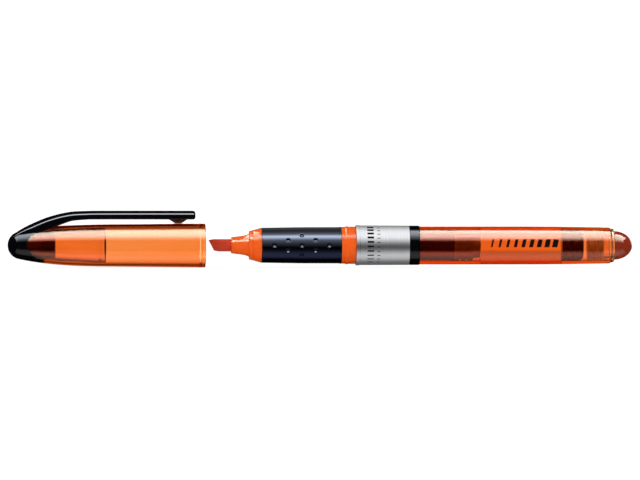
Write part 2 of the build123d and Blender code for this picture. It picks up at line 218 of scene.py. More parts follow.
def new_material(name):
    """A material with its Principled shader and its output."""
    material = bpy.data.materials.new(name)
    material.use_nodes = True
    nodes = material.node_tree.nodes
    shader = next(n for n in nodes if n.type == "BSDF_PRINCIPLED")
    output = next(n for n in nodes if n.type == "OUTPUT_MATERIAL")
    return material, shader, output


def add_node(material, kind, **inputs):
    """A node of a material or the world, with its sockets set by name."""
    node = material.node_tree.nodes.new(kind)
    for key, value in inputs.items():
        node.inputs[key.replace("_", " ")].default_value = value
    return node


def link(material, source, target):
    """Joins two sockets of a material or the world."""
    material.node_tree.links.new(source, target)


def object_noise(material, scale, detail=3.0, stretch=(1, 1, 1), roughness=0.5):
    """A noise texture in the object's own metres, stretched along chosen axes."""
    coordinate = add_node(material, "ShaderNodeTexCoord")
    mapping = add_node(material, "ShaderNodeMapping", Scale=stretch)
    link(material, coordinate.outputs["Object"], mapping.inputs["Vector"])
    noise = add_node(material, "ShaderNodeTexNoise", Scale=scale, Detail=detail, Roughness=roughness)
    link(material, mapping.outputs["Vector"], noise.inputs["Vector"])
    return noise


def ramp(material, source, stops):
    """A colour ramp of (position, colour) stops driven by a value, in a material or the world."""
    node = material.node_tree.nodes.new("ShaderNodeValToRGB")
    elements = node.color_ramp.elements
    while len(elements) > 1:
        elements.remove(elements[-1])
    for i, (position, colour) in enumerate(stops):
        element = elements[0] if i == 0 else elements.new(position)
        element.position = position
        element.color = (*colour, 1)
    link(material, source, node.inputs["Fac"])
    return node


def spread(material, source, low, high):
    """A value between low and high, driven by a noise's 0.3 to 0.7."""
    node = add_node(material, "ShaderNodeMapRange", From_Min=0.3, From_Max=0.7, To_Min=low, To_Max=high)
    link(material, source, node.inputs["Value"])
    return node.outputs["Result"]


def bump(material, source, strength, distance):
    """A bump from a height, with its distance in metres."""
    node = add_node(material, "ShaderNodeBump", Strength=strength, Distance=distance)
    link(material, source, node.inputs["Height"])
    return node.outputs["Normal"]


def clear_plastic(name, tint, depth_colour, density, roughness=0.02, clarity=1.0, ior=1.49):
    """Clear tinted plastic: sharp refraction, with colour that deepens with thickness.

    Under a clarity of 1 it is partly milky, with the tint as its milky colour."""
    material, shader, output = new_material(name)
    flow = object_noise(material, 260.0, 2.0, (0.25, 1, 1))
    colour = ramp(material, flow.outputs["Fac"], [(0.3, tint), (0.7, [c * 0.96 for c in tint])])
    link(material, colour.outputs["Color"], shader.inputs["Base Color"])
    gloss = spread(material, flow.outputs["Fac"], roughness * 0.8, roughness * 1.3)
    link(material, gloss, shader.inputs["Roughness"])
    shader.inputs["Transmission Weight"].default_value = clarity
    shader.inputs["IOR"].default_value = ior
    ripple = object_noise(material, 520.0, 1.0, (0.12, 1, 1))
    link(material, bump(material, ripple.outputs["Fac"], 0.06, 0.0001), shader.inputs["Normal"])
    volume = add_node(material, "ShaderNodeVolumeAbsorption", Color=(*depth_colour, 1), Density=density)
    link(material, volume.outputs["Volume"], output.inputs["Volume"])
    return material


def solid_plastic(name, colour, roughness, specular=0.5, grain=0.05, ior=1.5, sheen_tint=(1, 1, 1)):
    """Opaque moulded plastic with a faint mottle and a fine moulding texture."""
    material, shader, _ = new_material(name)
    mottle = object_noise(material, 900.0, 4.0)
    darker = [c * 0.82 for c in colour]
    lighter = [c * 1.18 for c in colour]
    tone = ramp(material, mottle.outputs["Fac"], [(0.3, darker), (0.7, lighter)])
    link(material, tone.outputs["Color"], shader.inputs["Base Color"])
    gloss = spread(material, mottle.outputs["Fac"], roughness * 0.85, roughness * 1.2)
    link(material, gloss, shader.inputs["Roughness"])
    shader.inputs["Specular IOR Level"].default_value = specular
    shader.inputs["IOR"].default_value = ior
    shader.inputs["Specular Tint"].default_value = (*sheen_tint, 1)
    fine = object_noise(material, 5200.0, 2.0)
    link(material, bump(material, fine.outputs["Fac"], grain, 0.00005), shader.inputs["Normal"])
    return material


def metallised(name):
    """Satin silver of a metallised plastic sleeve, turned round the pen, so its grain runs round it."""
    material, shader, _ = new_material(name)
    grain = object_noise(material, 9000.0, 3.0, (1, 0.03, 0.03))
    tone = ramp(material, grain.outputs["Fac"], [(0.3, (0.70, 0.71, 0.73)), (0.7, (0.80, 0.81, 0.83))])
    link(material, tone.outputs["Color"], shader.inputs["Base Color"])
    link(material, spread(material, grain.outputs["Fac"], 0.19, 0.25), shader.inputs["Roughness"])
    shader.inputs["Metallic"].default_value = 1.0
    link(material, bump(material, grain.outputs["Fac"], 0.04, 0.00002), shader.inputs["Normal"])
    return material


def soft_rubber(name):
    """Smooth black grip: a bluish sheen and a faint fine texture."""
    material, shader, _ = new_material(name)
    mottle = object_noise(material, 700.0, 4.0)
    stops = [(0.3, (0.0008, 0.0008, 0.0014)), (0.7, (0.0016, 0.0016, 0.003))]
    tone = ramp(material, mottle.outputs["Fac"], stops)
    link(material, tone.outputs["Color"], shader.inputs["Base Color"])
    link(material, spread(material, mottle.outputs["Fac"], 0.055, 0.075), shader.inputs["Roughness"])
    shader.inputs["Specular IOR Level"].default_value = 0.5
    shader.inputs["Specular Tint"].default_value = (0.66, 0.80, 1.0, 1)
    fine = object_noise(material, 6500.0, 3.0)
    link(material, bump(material, fine.outputs["Fac"], 0.04, 0.00001), shader.inputs["Normal"])
    return material


def felt(name, dark, light):
    """Pressed fibre soaked in ink: strands along the rod, with a damp sheen."""
    material, shader, _ = new_material(name)
    strands = object_noise(material, 2600.0, 5.0, (0.12, 1, 1), 0.65)
    tone = ramp(material, strands.outputs["Fac"], [(0.3, dark), (0.7, light)])
    link(material, tone.outputs["Color"], shader.inputs["Base Color"])
    link(material, spread(material, strands.outputs["Fac"], 0.62, 0.82), shader.inputs["Roughness"])
    shader.inputs["Specular IOR Level"].default_value = 0.25
    link(material, bump(material, strands.outputs["Fac"], 0.5, 0.00008), shader.inputs["Normal"])
    return material


def scatter_inside(material, distance):
    """Lets light spread inside milky plastic, red furthest, with a faint painted glow that stands in for
    light from all round.
    """
    shader = next(n for n in material.node_tree.nodes if n.type == "BSDF_PRINCIPLED")
    shader.inputs["Subsurface Weight"].default_value = 0.7
    shader.inputs["Subsurface Radius"].default_value = (1.0, 0.35, 0.12)
    shader.inputs["Subsurface Scale"].default_value = distance
    shader.inputs["Emission Color"].default_value = (*milky, 1)
    shader.inputs["Emission Strength"].default_value = 0.06


def wet_where_marked(material, dry_ior, wet_ior):
    """Lowers the refraction where the mesh is marked wet, as where ink lies against the plastic."""
    nodes = material.node_tree.nodes
    shader = next(n for n in nodes if n.type == "BSDF_PRINCIPLED")
    mark = nodes.new("ShaderNodeAttribute")
    mark.attribute_name = "wet"
    choose = add_node(material, "ShaderNodeMapRange", To_Min=dry_ior, To_Max=wet_ior)
    link(material, mark.outputs["Fac"], choose.inputs["Value"])
    link(material, choose.outputs["Result"], shader.inputs["IOR"])


def tint_where_marked(material, plain_tint, painted_shade_tint):
    """A second, darker and cloudier tint where the mesh is marked: painted shade on the dome of the end plug,
    for the darkness its hollow shape shows.
    """
    nodes = material.node_tree.nodes
    shader = next(n for n in nodes if n.type == "BSDF_PRINCIPLED")
    flow = object_noise(material, 260.0, 2.0)
    mark = nodes.new("ShaderNodeAttribute")
    mark.attribute_name = "dome"
    ripple = nodes.new("ShaderNodeMath")
    ripple.operation = "MULTIPLY_ADD"
    ripple.inputs[1].default_value = 0.06
    link(material, flow.outputs["Fac"], ripple.inputs[0])
    link(material, mark.outputs["Fac"], ripple.inputs[2])
    tone = ramp(material, ripple.outputs["Value"], [(0.0, plain_tint), (1.0, painted_shade_tint)])
    link(material, tone.outputs["Color"], shader.inputs["Base Color"])
    cloud = add_node(material, "ShaderNodeMapRange", To_Min=1.0, To_Max=0.55)
    link(material, mark.outputs["Fac"], cloud.inputs["Value"])
    link(material, cloud.outputs["Result"], shader.inputs["Transmission Weight"])


orange = (1.0, 0.98, 0.96)
deep = (0.99, 0.544, 0.02)
end_deep = (0.96, 0.50, 0.02)
# painted shade: a dark red for the end plug's dome, standing in for the darkness that its hollow shape shows
dome_painted_shade = (0.42, 0.055, 0.022)
ink_deep = (0.6, 0.4, 0.02)
milky = (1.0, 0.15, 0.02)
near_black = (0.002, 0.002, 0.003)
PLASTIC_IOR = 1.49
WET_IOR = 1.12  # of the plastic against ink
clear_cap = clear_plastic("clear_orange_cap", orange, deep, 2000.0)
clear_pen = clear_plastic("clear_orange_pen", orange, deep, 1900.0)
wet_where_marked(clear_pen, PLASTIC_IOR, WET_IOR)
clear_inner = clear_plastic("clear_orange_inner", orange, deep, 900.0, ior=1.3)
clear_front = clear_plastic("milky_orange_front", milky, deep, 500.0, roughness=0.07, clarity=0.15)
scatter_inside(clear_front, 0.0012)
clear_end = clear_plastic("clear_orange_end", orange, end_deep, 300.0, roughness=0.03, clarity=0.55)
tint_where_marked(clear_end, orange, dome_painted_shade)
ink_liquid = clear_plastic("orange_ink", orange, ink_deep, 40.0, roughness=0.0, ior=1.0)
black_gloss = solid_plastic("gloss_black_plastic", near_black, 0.07, grain=0.02)
black_satin = solid_plastic("satin_black_plastic", near_black, 0.10, grain=0.03)
grip_black = soft_rubber("grip_rubber")
silver = metallised("metallised_silver")
nib_felt = felt("nib_felt", (0.46, 0.030, 0.010), (0.64, 0.058, 0.018))
wick_felt = felt("wick_felt", (0.30, 0.03, 0.01), (0.45, 0.06, 0.02))
# painted shade: a darker red-brown for the inner cap's rim face, standing in for the dark line at its edge
rim_painted_shade = solid_plastic("inner_rim_painted_shade", (0.55, 0.13, 0.06), 0.3, 0.1)
print_black = solid_plastic("printed_ink", (0.006, 0.004, 0.004), 0.35, 0.3, 0.1)


def seen_through_orange(name, colour, roughness, specular=0.5):
    """Plastic seen only through the clear orange, with a strong sheen. The sheen's pink tint is painted: it
    stands in for light reddened by the orange.
    """
    return solid_plastic(name, colour, roughness, specular, ior=2.2, sheen_tint=(1.0, 0.40, 0.45))


dark_core = seen_through_orange("ink_stained_plastic", (0.09, 0.025, 0.030), 0.22)
divider_tone = seen_through_orange("divider_plastic", (0.36, 0.30, 0.30), 0.22)
stopper_tone = seen_through_orange("stopper_rubber", (0.10, 0.02, 0.04), 0.25, 0.3)
plug_tone = seen_through_orange("seal_plug_plastic", (0.92, 0.90, 0.90), 0.25, 0.35)
# painted light: the black nose's spigot gets a dark red colour that stands in for light reddened by the
# orange tube
spigot_painted_light = seen_through_orange("nose_spigot_painted_light", (0.16, 0.02, 0.015), 0.2, 0.6)


def dress(obj, material, slot, body, *nodes):
    """Gives a new piece its material and its body, and lets it stand for CAD nodes. The slot is not used."""
    obj.data.materials.clear()
    obj.data.materials.append(material)
    if nodes:
        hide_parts(*nodes)
    if body:
        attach(obj, body)
    return obj


def repaint_where(obj, material, chosen):
    """Gives the faces that a test picks, by their centre in millimetres, a second material."""
    obj.data.materials.append(material)
    for face in obj.data.polygons:
        if chosen(face.center / MM):
            face.material_index = 1


def repaint(node, material):
    """Gives a CAD node that stays its own material."""
    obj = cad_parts[node]
    obj.data.materials.clear()
    obj.data.materials.append(material)


# ---- cap ----------------------------------------------------------------------------------------

CAP_TAPER = 0.0087  # radius lost per millimetre from the mouth
SWELL_X = -106.5  # where the curve towards the nose begins
SWELL_POWER = 3.0
SHOULDER_X = nose_x0 + 3.0  # where the round tip begins
SHOULDER_R = 4.0
CAP_WALL = 0.72
SCALLOP_CURVE = 0.193  # how far the scalloped edge sweeps back towards the top and bottom
SCALLOP_PASSES = 40
BORE_MOUTH_R = mouth_r - 0.78
BORE_STEP_X = mouth_x - 28.2


def cap_radius(x):
    """The cap's outer radius: a slight straight taper, a swelling curve towards the nose, and a round tip."""
    if x < SHOULDER_X:
        depth = max(x - nose_x0, 0)
        reach = SHOULDER_X - nose_x0
        ball = (SHOULDER_R**2 + reach**2) / (2 * reach)
        return sqrt(2 * ball * depth - depth**2)
    straight = mouth_r - CAP_TAPER * (mouth_x - x)
    drop = (mouth_r - CAP_TAPER * (mouth_x - SHOULDER_X)) - SHOULDER_R
    reach = max(SWELL_X - x, 0) / (SWELL_X - SHOULDER_X)
    return straight - drop * reach**SWELL_POWER


def cap_bore(x):
    """The cap tube's inner radius."""
    if x < BORE_STEP_X:
        return cap_radius(x) - CAP_WALL
    step_r = cap_radius(BORE_STEP_X) - CAP_WALL
    return step_r + (BORE_MOUTH_R - step_r) * (x - BORE_STEP_X) / (mouth_x - BORE_STEP_X)


def scallop(angle, radius):
    """Where the nose's scalloped edge crosses a surface at this angle round the cap."""
    x = tube_x0
    for _ in range(SCALLOP_PASSES):
        x = tube_x0 + SCALLOP_CURVE * (radius(x) * sin(angle)) ** 2
    return x


def between(start, end, share, radius):
    """A ring on a surface, part of the way between edges. An edge is an x or a function of the angle."""

    def ring(angle):
        first = start(angle) if callable(start) else start
        last = end(angle) if callable(end) else end
        x = first + (last - first) * share
        return x, radius(x)

    return ring


def make_cap_tube():
    """The cap's clear tube, from the nose's scalloped edge to a rounded mouth with a snap bead inside."""
    seam = 0.02

    def outer_edge(angle):
        return scallop(angle, cap_radius) + seam

    def inner_edge(angle):
        return scallop(angle, cap_bore) + seam

    blend_x = -118.0
    blend_steps = 14
    straight_rings = 26
    rings = [between(outer_edge, blend_x, i / blend_steps, cap_radius) for i in range(blend_steps + 1)]
    for x in np.linspace(blend_x, mouth_x - 0.5, straight_rings)[1:]:
        rings.append(plain(x, cap_radius(x)))
    lip = soften(
        [
            (mouth_x - 0.5, cap_radius(mouth_x - 0.5)), (mouth_x, mouth_r - 0.01),
            (mouth_x, BORE_MOUTH_R + 0.08), (mouth_x - 0.35, BORE_MOUTH_R),
            (mouth_x - 0.8, BORE_MOUTH_R),
        ],
        0.22,
        5,
    )
    rings += [plain(x, r) for x, r in lip[1:]]
    bead_x = mouth_x - 1.37
    bead_half = 0.55
    bead_rise = 0.14
    bead_steps = 8
    for i in range(bead_steps + 1):
        t = -1 + 2 * i / bead_steps
        x = bead_x - t * bead_half
        rings.append(plain(x, BORE_MOUTH_R - bead_rise * cos(t * pi / 2) ** 2))
    for x in np.linspace(bead_x - 0.9, blend_x, straight_rings):
        rings.append(plain(x, cap_bore(x)))
    rings += [between(blend_x, inner_edge, i / blend_steps, cap_bore) for i in range(1, blend_steps + 1)]
    tube = build_rings("cap_tube_shell", rings)
    return dress(tube, clear_cap, "clear_orange", "cap", "cap_tube")


def make_inner_cap():
    """The inner cap: a flange against the tube, a cone, and a sleeve with a seal ridge and a rim painted
    darker, as painted shade.
    """
    wall = 0.45
    front_r = 3.95
    wide_r = inner_r - wall
    flange_r = cap_bore(inner_x0) - 0.03
    flange_end = inner_x0 + 1.1
    sleeve_start = inner_x1 - 3.0
    ridge_x = inner_x1 - 1.6
    ridge_rise = 0.22
    ridge_slope_rise = 0.13
    floor_x = inner_x0 + 4.0
    outline = soften(
        [
            (inner_x0, front_r), (inner_x0, flange_r), (flange_end, flange_r),
            (flange_end, front_r + wall), (sleeve_start, inner_r), (inner_x1 - 0.28, inner_r),
            (inner_x1, inner_r), (inner_x1, wide_r), (inner_x1 - 1.0, wide_r),
            (ridge_x + 0.25, wide_r - ridge_slope_rise), (ridge_x, wide_r - ridge_rise),
            (ridge_x - 0.25, wide_r - ridge_slope_rise), (inner_x1 - 2.2, wide_r),
            (sleeve_start, wide_r), (floor_x, front_r + 0.1), (floor_x, front_r),
        ],
        0.1,
    )
    sleeve = dress(lathe("inner_cap_sleeve", outline), clear_inner, "clear_orange", "cap", "inner_cap")
    # the rim face is painted darker: painted shade, not the plastic's colour
    repaint_where(sleeve, rim_painted_shade, lambda c: c.x > inner_x1 - 0.3)
    return sleeve


def make_nose():
    """The cap's black nose, with a scalloped edge and a black spigot whose faces inside the tube are painted
    dark red, as painted light from the orange tube.
    """
    seat_x = inner_x0 - 0.03
    spigot_r = 3.9
    spigot_gap = 0.06
    spigot_steps = 6

    def edge(angle):
        return scallop(angle, cap_radius)

    def rim(depth):
        return lambda angle: (edge(angle), cap_radius(edge(angle)) - depth)

    def spigot(x):
        return min(spigot_r, cap_radius(x) - CAP_WALL - spigot_gap)

    rings = [float(nose_x0)]
    count = 40
    for i in range(1, count + 1):
        share = 1 - cos(i / count * pi / 2)
        rings.append(between(nose_x0, edge, share, cap_radius))
    rings += [rim(0.06), rim(CAP_WALL + 0.03)]
    rings += [between(edge, seat_x, i / spigot_steps, spigot) for i in range(spigot_steps + 1)]
    end = soften([(seat_x, spigot_r), (nose_x1, spigot_r), (nose_x1, 0)], 0.15)
    rings += [plain(x, r) for x, r in end[1:-1]]
    rings.append(float(nose_x1))
    nose = build_rings("cap_nose_shell", rings, looped=False, sharp=40)
    dress(nose, black_gloss, "black_gloss", "cap", "cap_nose")
    # painted light: the spigot's faces inside the tube take the dark red in place of the black
    repaint_where(nose, spigot_painted_light, lambda c: hypot(c.y, c.z) < cap_radius(c.x) - CAP_WALL - 0.045)
    return nose


def interpolate(x, table):
    """A smooth curve through (x, value) points, flat outside them."""
    xs = [p[0] for p in table]
    if x <= xs[0]:
        return table[0][1]
    if x >= xs[-1]:
        return table[-1][1]
    i = max(k for k in range(len(xs)) if xs[k] <= x)
    slopes = []
    for k in range(len(xs)):
        a, b = max(k - 1, 0), min(k + 1, len(xs) - 1)
        slopes.append((table[b][1] - table[a][1]) / (xs[b] - xs[a]))
    h = xs[i + 1] - xs[i]
    t = (x - xs[i]) / h
    y0, y1 = table[i][1], table[i + 1][1]
    m0, m1 = slopes[i] * h, slopes[i + 1] * h
    return (
        (2 * t**3 - 3 * t**2 + 1) * y0
        + (t**3 - 2 * t**2 + t) * m0
        + (-2 * t**3 + 3 * t**2) * y1
        + (t**3 - t**2) * m1
    )


def make_clip():
    """The clip's arm: a flat underside, upright sides and a crowned top, bending off the nose."""
    root_x = -136.6
    straight_x = -112.0
    top = [
        (root_x, 3.05), (-135.15, 4.25), (-131.5, 6.22), (-126.1, 8.42), (-120.1, 9.84),
        (-114.6, clip_top - 0.04), (straight_x, clip_top), (clip_x1, clip_top),
    ]
    side_foot = [
        (root_x, 2.0), (-133.3, 3.3), (-127.3, 4.45), (-123.1, 5.88), (-119.5, 7.1),
        (-115.2, 7.53), (-113.0, clip_under), (clip_x1, clip_under),
    ]
    half_width = [(root_x, 2.3), (-133.0, 2.95), (-127.3, 3.1), (-122.0, 2.7), (-114.0, 2.4), (clip_x1, 2.25)]
    end_round = 0.75
    end_steps = 6
    bend_xs = np.linspace(root_x, straight_x, 56)
    straight_xs = np.linspace(straight_x, clip_x1 - end_round, 34)[1:]
    crown_steps, under_steps = 20, 8
    crown_most = 1.75
    crown_share = 0.68  # of the arm's thickness
    side_least = 0.3
    corner = 0.22
    saddle_start = -127.9  # from here on the underside follows the cap where the two meet

    def section(x, shrink):
        """The arm's outline across at an x, as (y, z), drawn in by shrink at the rounded end."""
        z_top = interpolate(x, top)
        z_foot = interpolate(x, side_foot)
        w = interpolate(x, half_width)
        thick = z_top - z_foot
        z_top -= shrink * 0.95
        z_foot += shrink * 0.95
        w -= shrink * 1.3
        crown = min(crown_most, crown_share * thick, z_top - z_foot - side_least)
        points = []
        for i in range(crown_steps + 1):
            a = pi * i / crown_steps
            flat = abs(cos(a)) ** 0.8 * (1 if cos(a) >= 0 else -1)
            points.append((w * flat, z_top - crown + crown * sin(a) ** 0.9))
        points.append((-w, z_foot + corner))
        for i in range(under_steps + 1):
            y = -(w - corner) + 2 * (w - corner) * i / under_steps
            saddle = sqrt(max((cap_radius(x) - 0.02) ** 2 - y**2, 0)) if x > nose_x0 + 1 else 0
            z = max(z_foot, saddle) if x > saddle_start else z_foot
            points.append((y, min(z, z_top - 0.4)))
        points.append((w, z_foot + corner))
        return points

    stations = [(x, 0) for x in (*bend_xs, *straight_xs)]
    for i in range(1, end_steps + 1):
        a = pi / 2 * i / end_steps
        stations.append((clip_x1 - end_round + end_round * sin(a), end_round * (1 - cos(a))))
    verts = []
    for x, shrink in stations:
        verts += [(x, y, z) for y, z in section(x, shrink)]
    arm = build_stack("clip_arm", verts, len(verts) // len(stations), 42)
    dress(arm, black_gloss, "black_gloss", None, "clip")
    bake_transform(arm)
    return arm


def make_clip_foot():
    """The rounded foot under the clip's tip, which reaches down to the cap."""
    foot_x = clip_x1 - 5.05
    base_z = clip_under + 0.5
    tip_z = cap_radius(foot_x) + 0.03
    levels = 10
    count = 48
    base_half_x, tip_half_x = 2.75, 1.0
    base_half_y, tip_half_y = 1.7, 1.0
    tip_bevel = 0.15
    verts = []
    for i in range(levels):
        t = i / (levels - 1)
        z = base_z + (tip_z - base_z) * t
        fall = min(max((clip_under - z) / (clip_under - tip_z), 0), 1)
        half_x = base_half_x - (base_half_x - tip_half_x) * fall**0.9
        half_y = base_half_y - (base_half_y - tip_half_y) * fall
        if i == levels - 1:
            half_x -= tip_bevel
            half_y -= tip_bevel
        for k in range(count):
            a = 2 * pi * k / count
            cx = abs(cos(a)) ** 0.6 * (1 if cos(a) >= 0 else -1)
            cy = abs(sin(a)) ** 0.6 * (1 if sin(a) >= 0 else -1)
            verts.append((foot_x + half_x * cx, half_y * cy, z))
    foot = build_stack("clip_foot", verts, count, 50)
    return dress(foot, black_gloss, "black_gloss", "clip")


# ---- pen ----------------------------------------------------------------------------------------


def make_nib():
    """The chisel nib: a round rod, two flat facets that close to an edge, and a slanted front."""
    facet_x = -72.8
    edge_half = 0.28
    high_z, low_z = 1.5, -1.66
    heel_x = nib_x0 + 1.68
    tip_drop = 0.30  # that the top and bottom lose at the very front
    segments = 96
    stations = [0.0, 0.03, 0.08, 0.16, 0.26, 0.38, 0.5, 0.62, 0.74, 0.86, 1.0]

    def front(z):
        """The slanted front's x at a height."""
        return nib_x0 + (heel_x - nib_x0) * (high_z - z) / (high_z - low_z)

    def ring_point(share, angle):
        """A point a share of the way from the front to the end of the facets."""
        z = nib_r * sin(angle)
        top = nib_r - tip_drop * max(0, 1 - share * 4)
        z = max(min(z, top), -top)
        x = front(z) + (facet_x - front(z)) * share
        flat = edge_half + (nib_r - edge_half) * (x - nib_x0) / (facet_x - nib_x0)
        y = nib_r * cos(angle)
        y = max(min(y, flat), -flat)
        return x, y, z

    verts = []
    for share in stations:
        for k in range(segments):
            verts.append(ring_point(share, 2 * pi * k / segments))
    for x in (-72.2, -71.0, nib_x1 - 0.1, nib_x1):
        for k in range(segments):
            angle = 2 * pi * k / segments
            verts.append((x, nib_r * cos(angle), nib_r * sin(angle)))
    nib = build_stack("chisel_nib", verts, segments, 22)
    return dress(nib, nib_felt, "nib_fibre", "pen", "nib")


def make_guide():
    """The clear flared nose round the nib, with a flange against the front section."""
    bore = nib_r + 0.01
    front_r = 2.37
    tail_r = 2.9
    flange_x = guide_x0 + 5.38
    flange_end = flange_x + 0.93
    flange_slope = 0.17
    flare = [
        (guide_x0 + 3.13, 2.74), (guide_x0 + 3.95, 2.90), (guide_x0 + 4.6, 3.09),
        (guide_x0 + 5.08, 3.31), (flange_x, 3.55),
    ]
    outline = soften(
        [
            (guide_x0, bore),
            (guide_x0, front_r),
            *flare,
            (flange_x, guide_r - flange_slope), (flange_end, guide_r), (flange_end, tail_r),
            (guide_x1, tail_r), (guide_x1, bore), (guide_x0 + 0.2, bore),
        ],
        0.12,
        keep=(3, 4, 5),
    )
    return dress(lathe("nib_guide_flare", outline), clear_front, "clear_orange", "pen", "nib_guide")


def make_section():
    """The front section: a cone, the tube under the grip, the cap's snap collar and the spigot behind it."""
    cone_end = section_x0 + 2.57
    seat_r = 4.3
    collar_x = grip_x1 + 0.02
    collar_end = sleeve_x0 - 0.02
    collar_front_r = 5.43
    collar_r = 5.50
    bead = collar_x + 1.6
    bead_r = 5.60
    spigot_r = 4.38
    bore_rear = 3.4
    web_rear, web_front = -50.5, -54.5
    web_bore = 2.02
    bore_front = 2.91
    outline = soften(
        [
            (section_x0, bore_front), (section_x0, 4.41), (cone_end, 5.15), (cone_end, seat_r),
            (collar_x, seat_r), (collar_x, collar_front_r), (bead - 0.5, collar_front_r),
            (bead - 0.25, bead_r), (bead + 0.25, bead_r), (bead + 0.5, collar_r),
            (collar_end, collar_r), (collar_end, spigot_r), (section_x1 - 0.4, spigot_r),
            (section_x1, 4.1), (section_x1, bore_rear), (web_rear, bore_rear),
            (web_rear, web_bore), (web_front, web_bore), (web_front, bore_front),
        ],
        0.1,
    )
    return dress(lathe("front_section_body", outline), clear_front, "clear_orange", "pen", "front_section")


def make_grip():
    """The smooth grip, with three fields of round dimples."""
    segments, rows = 384, 250
    bore = 4.32
    edge_inset = 0.10
    fields = 3
    first_column_x, column_pitch = -59.67, 4.05
    columns = ((0,), (-16.5, 16.5), (-33, 0, 33), (-16.5, 16.5), (0,))
    dimple_r, depth = 0.64, 0.42
    ball_r = (dimple_r**2 + depth**2) / (2 * depth)
    profile = [
        (grip_x0, 5.16), (-51.6, 5.34), (grip_x1 - 0.75, 5.36), (grip_x1 - 0.6, grip_r),
        (grip_x1, grip_r),
    ]
    dimples = []
    for field in range(fields):
        for column, angles in enumerate(columns):
            for angle in angles:
                x = first_column_x + column_pitch * column
                dimples.append((x, pi - radians(angle + 360 / fields * field)))

    def skin(x):
        """The grip's radius between the profile's points."""
        for (x0, r0), (x1, r1) in zip(profile, profile[1:]):
            if x <= x1:
                return r0 + (r1 - r0) * (x - x0) / (x1 - x0)
        return grip_r

    def round_ring(x, r):
        """The points of a plain ring."""
        return [(x, r * cos(2 * pi * k / segments), r * sin(2 * pi * k / segments)) for k in range(segments)]

    verts, faces = [], []
    for x, r in ((grip_x0, bore), (grip_x0, 5.02), (grip_x0 + 0.03, 5.10)):
        verts += round_ring(x, r)
    for i in range(rows):
        x = grip_x0 + edge_inset + (grip_x1 - grip_x0 - 2 * edge_inset) * i / (rows - 1)
        base = skin(x)
        for k in range(segments):
            angle = 2 * pi * k / segments
            r = base
            for dimple_x, dimple_angle in dimples:
                if abs(x - dimple_x) > dimple_r:
                    continue
                turn = (angle - dimple_angle + pi) % (2 * pi) - pi
                away = hypot(x - dimple_x, turn * base)
                if away < dimple_r:
                    r -= sqrt(ball_r**2 - away**2) - (ball_r - depth)
            verts.append((x, r * cos(angle), r * sin(angle)))
    for x, r in ((grip_x1 - 0.03, grip_r - 0.06), (grip_x1, grip_r - 0.14), (grip_x1, bore)):
        verts += round_ring(x, r)
    total = len(verts) // segments
    for i in range(total):
        faces += ring_faces(i * segments, ((i + 1) % total) * segments, segments)
    grip = mesh_piece("grip_rubber_sleeve", verts, faces, 50)
    return dress(grip, grip_black, "grip_rubber", "pen", "grip_sleeve")


SLEEVE_BORE = 5.19
SPIGOT_R = 5.17


def make_sleeve():
    """The silver sleeve, with a raised band at its front edge."""
    rear_r = 5.81
    band_end = sleeve_x0 + 1.0
    outline = soften(
        [
            (sleeve_x0, SLEEVE_BORE), (sleeve_x0, sleeve_r), (band_end, sleeve_r),
            (band_end + 0.15, sleeve_r - 0.08), (sleeve_x1, rear_r), (sleeve_x1, SLEEVE_BORE),
        ],
        0.12,
        4,
    )
    return dress(lathe("silver_sleeve", outline), silver, "silver_sleeve", "pen", "trim_sleeve")


def make_ring():
    """The black ring between the sleeve and the barrel."""
    corners = [(ring_x0, SLEEVE_BORE), (ring_x0, ring_r), (ring_x1, ring_r), (ring_x1, SLEEVE_BORE)]
    ring = lathe("black_ring", soften(corners, 0.12, 4))
    return dress(ring, black_satin, "black_plastic", "pen", "joint_ring")


def make_barrel():
    """The clear barrel: a spigot in the sleeve, a straight body and a taper, marked wet where ink lies."""
    body_x = ring_x1 + 0.02
    bore = 4.55
    spigot_bore = 4.4
    bore_start = body_x - 0.5
    straight_end = 15.6
    taper_end = barrel_x1 - 0.4
    rear_r = 5.36
    taper_steps = 12
    taper = []
    for i in range(1, taper_steps + 1):
        t = i / taper_steps
        x = straight_end + (taper_end - straight_end) * t
        taper.append((x, barrel_r - (barrel_r - rear_r) * t**1.6))
    outline = soften(
        [
            (barrel_x0, spigot_bore), (barrel_x0, SPIGOT_R), (body_x, SPIGOT_R),
            (body_x, barrel_r), (straight_end, barrel_r),
            *taper,
            (barrel_x1, rear_r - 0.3), (barrel_x1, bore), (ink_x1, bore), (ink_x0, bore),
            (bore_start, bore), (bore_start, spigot_bore),
        ],
        0.15,
        4,
    )
    barrel = lathe("barrel_tube", outline)
    wet = []
    for face in barrel.data.polygons:
        place = face.center / MM
        wet.append(float(ink_x0 < place.x < ink_x1 and hypot(place.y, place.z) < bore + 0.1))
    barrel.data.attributes.new("wet", "FLOAT", "FACE").data.foreach_set("value", wet)
    return dress(barrel, clear_pen, "clear_orange", "pen", "barrel")


